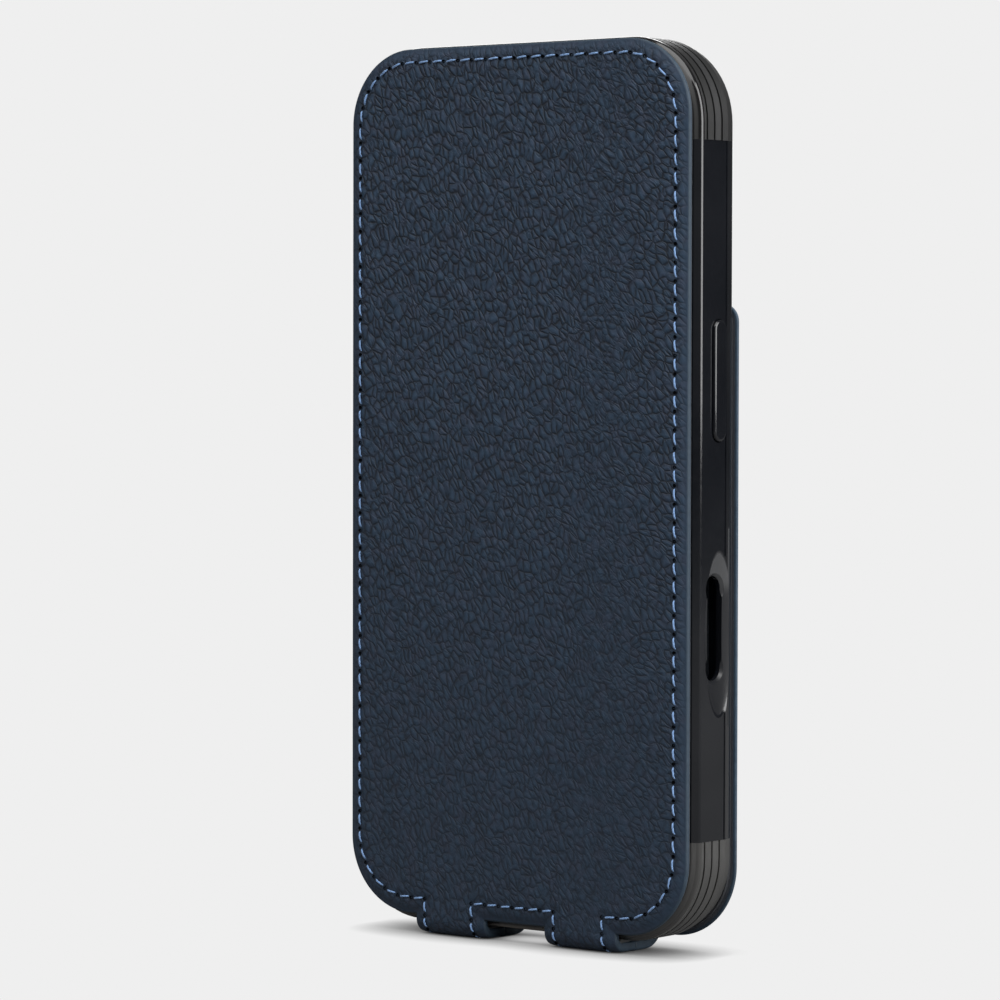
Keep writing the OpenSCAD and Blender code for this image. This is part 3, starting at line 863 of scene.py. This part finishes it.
def cell_middles(columns, rows):
    """How far from the centre line, and how high, the middles of the grid cells are."""
    xs, ss = columns[0], rows[0]
    return np.abs(xs[1:] + xs[:-1])[:, None] / 2, (ss[1:] + ss[:-1])[None, :] / 2


def corner_blocks(half, low, high, low_r, high_r, edge):
    """The square blocks of a grid that round_corners bends, with the grid's edge that far inside."""
    rows = ((low_r, low + low_r, -1), (high_r, high - high_r, 1))
    return [(side * (half - r), s, side, up, r - edge) for r, s, up in rows for side in (-1, 1)]


def strap_inset(x, s):
    return np.minimum(STRAP_HALF - np.abs(np.abs(x) - STRAP_X), 30 - s)


def calm_edges(inset):
    """How far from 0 to 1 the leather's grain has come up from its calm edges."""
    return {"calm": lambda x, s: smooth(-0.6, 3.0, inset(x, s))}


def face_depth(x, s, inset, border, stitches, fold_r, wave_seed, grain_seed):
    """Depth of a panel's face: border, seam, grain, and slow waves that end where it goes under the case."""
    wave = 0.05 * value_noise(x, s, 14, wave_seed) + 0.03 * value_noise(x, s, 5, wave_seed + 1)
    under = smooth(-fold_r, fold_r, s)
    quiet = 0.10 + 0.90 * smooth(1.0, 3.6, inset)
    relief = GRAIN_DEPTH * quiet * (1 - leather_grain(x, s, grain_seed))
    return (border * (0.25 + 0.75 * under) + FACE_SUNK + seam_dip(x, s, stitches) + relief
            + (0.01 + wave) * under * smooth(0, 4, inset))


# ---- flap
def flap_outline(x, s):
    return rounded_inset(x, s, FLAP_HALF, FLAP_LOW, FLAP_TOP, FLAP_R, FLAP_R)


def union_inset(x, s):
    return np.maximum(flap_outline(x, s), strap_inset(x, s))


def flap_skin():
    fold_end = FRONT_R * (1 - pi / 2)
    end = fold_end - (SPLIT_Y - FRONT_Y - FRONT_R)
    e = EDGE_IN
    xo, xi = STRAP_X + STRAP_HALF - e, STRAP_X - STRAP_HALF + e
    columns = fill(mirrored_keys([0, xi, xo, FLAP_HALF - FLAP_R, FLAP_HALF - BORDER_IN, FLAP_HALF - e]),
                   GRAIN_STEP)
    rows = fill([end, fold_end, FRONT_R, FLAP_LOW + e, FLAP_LOW + BORDER_IN, FLAP_LOW + FLAP_R,
                 FLAP_TOP - FLAP_R, FLAP_TOP - BORDER_IN, FLAP_TOP - e], GRAIN_STEP)
    xc, sc = cell_middles(columns, rows)
    mask = (sc > FLAP_LOW + e) | ((xc > xi) & (xc < xo))
    stitches = flap_seam(end)

    def front(x, s):
        d = union_inset(x, s)
        border = 0.78 * np.clip(1 - (d - 0.3) / 2.5, 0, 1) ** 1.6
        return face_depth(x, s, d, border, stitches, FRONT_R, 31, FLAP_GRAIN)

    def back(x, s):
        leather = np.where(flap_outline(x, s) > BORDER_IN - 0.05, LEATHER_T, FLAP_EDGE_T)
        return np.where(s < FLAP_LOW - 0.1, STRAP_T, leather)

    corners = corner_blocks(FLAP_HALF, FLAP_LOW, FLAP_TOP, FLAP_R, FLAP_R, e)
    ob = sheet("flap_skin", columns, rows, mask, corners, on_front, front, back, e, [LEATHER, EDGE, LINING],
               fine_below=FRONT_R + 0.1, flat_end=True, extra=calm_edges(union_inset))
    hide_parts("flap_leather", "left_strap", "right_strap", "left_strap_lining", "right_strap_lining")
    seam = thread_mesh("flap_stitches", stitches, on_front, STITCH_CROWN, 3)
    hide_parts("flap_thread", "strap_thread")
    for piece in (ob, seam):
        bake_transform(piece)


# ---- back panel
def panel_inset(x, s):
    panel = rounded_inset(x, s, PANEL_HALF, PANEL_LOW, PANEL_TOP, PANEL_LOW_R, PANEL_TOP_R)
    return np.maximum(panel, strap_inset(x, s))


def rear_skin():
    fold_end = REAR_R * (1 - pi / 2)
    end = fold_end - (BACK_Y - REAR_R - SPLIT_Y)
    e = EDGE_IN
    xo, xi = STRAP_X + STRAP_HALF - e, STRAP_X - STRAP_HALF + e
    no, ni = STRAP_X + STRAP_HALF + STRAP_SLIT + e, STRAP_X - STRAP_HALF - STRAP_SLIT - e
    half_keys = [0, ni, xi, xo, no, PANEL_HALF - PANEL_LOW_R, PANEL_HALF - PANEL_TOP_R, PANEL_HALF - e]
    columns = fill(mirrored_keys(half_keys), REAR_GRAIN_STEP)
    rows = fill([end, fold_end, PANEL_LOW + e, REAR_R, REAR_R + e, PANEL_LOW + PANEL_LOW_R,
                 PANEL_TOP - PANEL_TOP_R, PANEL_TOP - e], REAR_GRAIN_STEP)
    xc, sc = cell_middles(columns, rows)
    tab, notch = (xc > xi) & (xc < xo), (xc > ni) & (xc < no)
    mask = (sc > REAR_R + e) | (tab & (sc < REAR_R + e)) | (~notch & (sc > PANEL_LOW + e))
    stitches = rear_seam(end)

    def front(x, s):
        d = panel_inset(x, s)
        border = 0.30 * (1 - smooth(0.3, 2.7, d)) ** 1.4
        return face_depth(x, s, d, border, stitches, REAR_R, 41, REAR_GRAIN)

    def back(x, s):
        strap = np.abs(np.abs(x) - STRAP_X) < STRAP_HALF
        return np.where(strap & (s < REAR_R - 0.05), STRAP_T, LEATHER_T)

    corners = corner_blocks(PANEL_HALF, PANEL_LOW, PANEL_TOP, PANEL_LOW_R, PANEL_TOP_R, e)
    ob = sheet("rear_skin", columns, rows, mask, corners, on_back, front, back, e,
               [LEATHER, REAR_EDGE_LIT, LINING],
               flip=True, fine_below=REAR_R + 0.1, flat_end=True, extra=calm_edges(panel_inset))
    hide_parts("rear_leather")
    seam = thread_mesh("rear_stitches", stitches, on_back, STITCH_CROWN, 4, mirrored=True)
    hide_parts("rear_thread")
    for piece in (ob, seam):
        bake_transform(piece)


flap_skin()
rear_skin()


# ---- linings and card pocket
def plain_sheet(name, lo, hi, r, t, materials, step=2.0, edge=0.12, relief=None, extra=None):
    """A flat rounded sheet in a CAD box whose outer face looks to the back, and is t thick."""
    half, low, high = hi[0], lo[2], hi[2]
    columns = fill([-half + edge, -half + r, half - r, half - edge], step)
    rows = fill([low + edge, low + r, high - r, high - edge], step)
    mask = np.ones((len(columns[0]) - 1, len(rows[0]) - 1), bool)

    def place(x, s, depth):
        return np.stack([x, hi[1] - depth, s], 1)

    return sheet(name, columns, rows, mask, corner_blocks(half, low, high, r, r, edge), place,
                 relief or (lambda x, s: np.zeros(len(x))), lambda x, s: np.full(len(x), t), edge, materials,
                 back_edge=min(edge, t / 3), flip=True, extra=extra)


def linings():
    flap = plain_sheet("flap_lining_sheet", FLAP_LO, FLAP_HI, FLAP_R - LINING_INSET, FLAP_HI[1] - FLAP_LO[1],
                       [LINING] * 3)
    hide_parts("flap_lining")
    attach(flap, "flap")
    lo, hi, r = POCKET_LO, POCKET_HI, POCKET_SEAM_IN
    w, low, top = hi[0] - r, lo[2] + r, hi[2] - POCKET_SEAM_END
    turns = arc_points(w - r, low + r, r, 0, -90) + arc_points(-w + r, low + r, r, -90, -180)
    stitches = walk([(w, top), *turns, (-w, top)])

    def inset(x, s):
        return rounded_inset(x, s, hi[0], lo[2], hi[2], POCKET_R, POCKET_R)

    def relief(x, s):
        grain = 0.06 * (1 - leather_grain(x, s, POCKET_GRAIN)) * smooth(0.1, 1.5, inset(x, s))
        return FACE_SUNK + grain + 0.4 * seam_dip(x, s, stitches)

    pocket = plain_sheet("pocket_sheet", lo, hi, POCKET_R, hi[1] - lo[1] - 0.01, [LEATHER, EDGE, LINING],
                         step=0.5, relief=relief, extra=calm_edges(inset))
    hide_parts("card_pocket")
    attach(pocket, "flap")
    seam = thread_mesh("pocket_stitches", stitches, flat_inside, 0.10, 5, radius=0.18, mirrored=True)
    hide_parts("pocket_thread")
    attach(seam, "flap")


linings()

# ---- button covers, camera rim and tray lining
def rounded_path(cz, half_w, half_h, r, cx=0.0, n_arc=14, n_side=10):
    """Points round a rounded rectangle, counter-clockwise, the same number for any size."""
    points = []
    w, h = half_w - r, half_h - r
    corners = [np.array([cx + px, cz + pz]) for px, pz in ((w, h), (-w, h), (-w, -h), (w, -h))]
    for k, corner in enumerate(corners):
        turn = 90 * k
        arc = arc_points(*corner, r, turn, turn + 90, n_arc)
        after = radians((turn + 90) % 360)
        start, end = np.array(arc[-1]), corners[(k + 1) % 4] + r * np.array([cos(after), sin(after)])
        points += arc + [tuple(start + (end - start) * m / n_side) for m in range(1, n_side)]
    return np.array(points)


def box_path(lo, hi, r, grow=0.0):
    """The same round a box seen from the front, grown by so much."""
    return rounded_path((lo[2] + hi[2]) / 2, hi[0] + grow, (hi[2] - lo[2]) / 2 + grow, r + grow)


def ring_at_y(path, y):
    return np.column_stack([path[:, 0], np.full(len(path), y), path[:, 1]])


def skin_rings(name, rings, material, closed):
    """A skin over rings of matching points; closed joins the last to the first, or both ends are capped."""
    n = len(rings[0])
    verts = np.concatenate(rings)
    faces = []
    for k in range(len(rings) if closed else len(rings) - 1):
        a, b = k * n, (k + 1) % len(rings) * n
        faces += [(a + m, b + m, b + (m + 1) % n, a + (m + 1) % n) for m in range(n)]
    if not closed:
        last = (len(rings) - 1) * n
        faces += [tuple(range(n)), tuple(range(last + n - 1, last - 1, -1))]
    volume = sum(np.dot(verts[f[0]], np.cross(verts[f[k]], verts[f[k + 1]]))
                 for f in faces for k in range(1, len(f) - 1))
    if volume < 0:
        faces = [f[::-1] for f in faces]
    return make_mesh(name, verts, faces, [material])


def quarter(step):
    """How far a rounded edge stands in from each of its two faces, from one end of it to the other."""
    return [(1 - sin(radians(a)), 1 - cos(radians(a))) for a in range(0, 91, step)]


def button_cover(name, node, body):
    lo, hi = box_mm(node)
    side = 1 if hi[0] > 0 else -1
    outer, inner = (hi[0], lo[0]) if side > 0 else (lo[0], hi[0])
    half_w, half_h = (hi[1] - lo[1]) / 2, (hi[2] - lo[2]) / 2
    soft = 0.42
    steps = [(inner, 0.0)] + [(outer - side * soft * a, soft * b) for a, b in quarter(10)]
    steps += [(outer - side * 0.03, soft + 0.5), (outer - side * 0.05, half_w - 0.15)]
    rings = []
    for x, inset in steps:
        path = rounded_path((lo[2] + hi[2]) / 2, half_w - inset, half_h - inset, half_w - inset - 0.01,
                            cx=(lo[1] + hi[1]) / 2, n_side=4)
        rings.append(np.column_stack([np.full(len(path), x), path[:, 0], path[:, 1]]))
    ob = skin_rings(name, rings, COVER, False)
    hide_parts(node)
    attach(ob, body)


def camera_rim():
    lo, hi = box_mm("camera_rim")
    soft = 0.45
    steps = [(-RIM_W, lo[1]), (0.0, lo[1])]
    steps += [(-soft * b, hi[1] - soft * a) for a, b in quarter(15)]
    steps += [(soft * a - RIM_W, hi[1] - soft * b) for a, b in quarter(15)]
    rings = [ring_at_y(box_path(lo, hi, WINDOW_R + RIM_W, grow), y) for grow, y in steps]
    ob = skin_rings("camera_window_rim", rings, COVER, True)
    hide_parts("camera_rim")
    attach(ob, "tray")


def tray_lining():
    lo, hi = box_mm("back_lining")
    outer, inner = box_path(lo, hi, TRAY_LINING_R), box_path(*box_mm("camera_rim"), WINDOW_R + RIM_W)
    rings = []
    for share in np.concatenate([[0, 0.004], np.linspace(0, 1, 16)[1:-1], [0.98, 1]]):
        path = outer + (inner - outer) * share
        nap = 0.015 * (1 + value_noise(path[:, 0], path[:, 1], 7.0, 61))
        rings.append(ring_at_y(path, lo[1] + (0.08 if share in (0, 1) else nap)))
    rings += [ring_at_y(inner, hi[1]), ring_at_y(outer, hi[1])]
    ob = skin_rings("tray_lining_sheet", rings, LINING, True)
    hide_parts("back_lining")
    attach(ob, "tray")


button_cover("side_button_pad", "side_button_cover", "side_button")
button_cover("action_button_pad", "action_button_cover", "action_button")
button_cover("volume_up_pad", "volume_up_cover", "volume_up_button")
button_cover("volume_down_pad", "volume_down_cover", "volume_down_button")
camera_rim()
tray_lining()

for node, material in (("bumper_frame", BUMPER), ("back_plate", COVER), ("keeper_magnets", METAL),
                       ("rear_backing", BOARD), ("flap_board", BOARD), ("flap_magnets", METAL)):
    ob = frame["nodes"][node]
    ob.data.materials.clear()
    ob.data.materials.append(material)


# ---- stage, light and camera, in metres
BACKDROP = 0.863
ROOM_LEVEL, ROOM_DARK = 0.18, 0.05
SHADOW_REACH = 0.008
FLOOR_DIM = 0.20
FLOOR_DROP = 0.00002
FLOOR_RINGS = (0.25, 0.6, 1.5, 4.0, 12.0)
LIGHT_AIM = 0.078

# Azimuth from the front towards the right, height, distance, width, height of the panel, watts and aim
LIGHTS = {
    "top_light": (35, 1.25, 0.60, 1.2, 1.2, 19, LIGHT_AIM),
    "front_light": (-30, 0.80, 1.5, 0.9, 0.9, 4, LIGHT_AIM),
    "rear_light": (226, 0.55, 1.6, 1.0, 1.0, 12, LIGHT_AIM),
    "side_light": (95, 0.60, 1.05, 1.25, 1.06, 28, 0.60),
}

CAMERA_AT = (0.46553, -0.59552, 0.10167)
CAMERA_AZIMUTH, CAMERA_PITCH, CAMERA_ROLL = radians(38.52), radians(1.93), radians(0.13)
SENSOR = 36.0
FOCAL_WIDTHS = 4.381


def stage():
    me = bpy.data.meshes.new("floor")
    n = 96
    verts = [(0, 0, 0)]
    for r in FLOOR_RINGS:
        verts += [(r * cos(2 * pi * k / n), r * sin(2 * pi * k / n), 0) for k in range(n)]
    faces = [(0, 1 + k, 1 + (k + 1) % n) for k in range(n)]
    for ring in range(len(FLOOR_RINGS) - 1):
        a, b = 1 + ring * n, 1 + (ring + 1) * n
        faces += [(a + k, b + k, b + (k + 1) % n, a + (k + 1) % n) for k in range(n)]
    me.from_pydata(verts, [], faces)
    floor = bpy.data.objects.new("floor", me)
    floor.location.z = -FLOOR_DROP
    bpy.context.scene.collection.objects.link(floor)
    # Seen as pale as the backdrop with soft contact shadows, and dim for the light it sends to the object
    n = Nodes("pale_floor")
    openness = n.add("AmbientOcclusion", {"Distance": SHADOW_REACH}, samples=24).outputs["AO"]
    seen = n.add("Emission", {"Color": n.grey(n.product(openness, BACKDROP)), "Strength": 1.0})
    dim = n.add("BsdfDiffuse", {"Color": (FLOOR_DIM, FLOOR_DIM, FLOOR_DIM, 1)})
    blend = n.add("MixShader", {0: n.add("LightPath").outputs["Is Camera Ray"],
                                1: dim.outputs[0], 2: seen.outputs[0]})
    feed(n.tree, n.tree.nodes["Material Output"].inputs["Surface"], blend.outputs[0])
    me.materials.append(n.mat)


def softbox(name, azimuth, height, distance, width, tall, power, aim):
    light = bpy.data.lights.new(name, "AREA")
    light.shape = "RECTANGLE"
    light.size, light.size_y, light.energy = width, tall, power
    ob = bpy.data.objects.new(name, light)
    a = radians(azimuth)
    ob.location = (distance * sin(a), -distance * cos(a), height)
    ob.rotation_mode = "QUATERNION"
    ob.rotation_quaternion = (Vector((0, 0, aim)) - ob.location).to_track_quat("-Z", "Y")
    bpy.context.scene.collection.objects.link(ob)


def world():
    """White behind the object, and for its reflections a soft room that is darker to the right."""
    w = bpy.data.worlds.new("studio")
    bpy.context.scene.world = w
    w.use_nodes = True
    t = w.node_tree
    t.nodes.clear()

    def towards(azimuth, start, full):
        """1 for directions near an azimuth, falling to 0."""
        a = radians(azimuth)
        way = add_node(t, "TexCoord").outputs["Generated"]
        level = add_node(t, "VectorMath", {0: way, 1: (sin(a), -cos(a), 0)}, operation="DOT_PRODUCT")
        values = {"Value": level.outputs["Value"], "From Min": start, "From Max": full}
        return add_node(t, "MapRange", values, interpolation_type="SMOOTHSTEP").outputs["Result"]

    def blend(fac, a, b):
        return add_node(t, "Mix", {0: fac, 2: a, 3: b}, data_type="FLOAT").outputs[0]

    level = blend(towards(140, 0.55, 0.92), ROOM_LEVEL, ROOM_DARK)
    level = blend(towards(218, 0.80, 0.97), level, BACKDROP)
    seen = add_node(t, "Background", {"Color": (BACKDROP, BACKDROP, BACKDROP, 1), "Strength": 1.0}).outputs[0]
    lit = add_node(t, "Background", {"Color": (1, 1, 1, 1), "Strength": level}).outputs[0]
    ray = add_node(t, "LightPath").outputs["Is Camera Ray"]
    add_node(t, "OutputWorld", {0: add_node(t, "MixShader", {0: ray, 1: lit, 2: seen}).outputs[0]})


def camera():
    azimuth, pitch, roll = CAMERA_AZIMUTH, CAMERA_PITCH, CAMERA_ROLL
    forward = Vector((-sin(azimuth) * cos(pitch), cos(azimuth) * cos(pitch), -sin(pitch)))
    right = Vector((cos(azimuth), sin(azimuth), 0))
    up = right.cross(forward)
    x = right * cos(roll) + up * sin(roll)
    y = up * cos(roll) - right * sin(roll)
    data = bpy.data.cameras.new("camera")
    data.sensor_width, data.lens = SENSOR, SENSOR * FOCAL_WIDTHS
    data.clip_start, data.clip_end = 0.05, 60
    ob = bpy.data.objects.new("camera", data)
    ob.matrix_world = Matrix.Translation(CAMERA_AT) @ Matrix((x, y, -forward)).transposed().to_4x4()
    bpy.context.scene.collection.objects.link(ob)
    bpy.context.scene.camera = ob


stage()
world()
camera()
for light, sizes in LIGHTS.items():
    softbox(light, *sizes)
bpy.context.scene.view_settings.view_transform = "Standard"
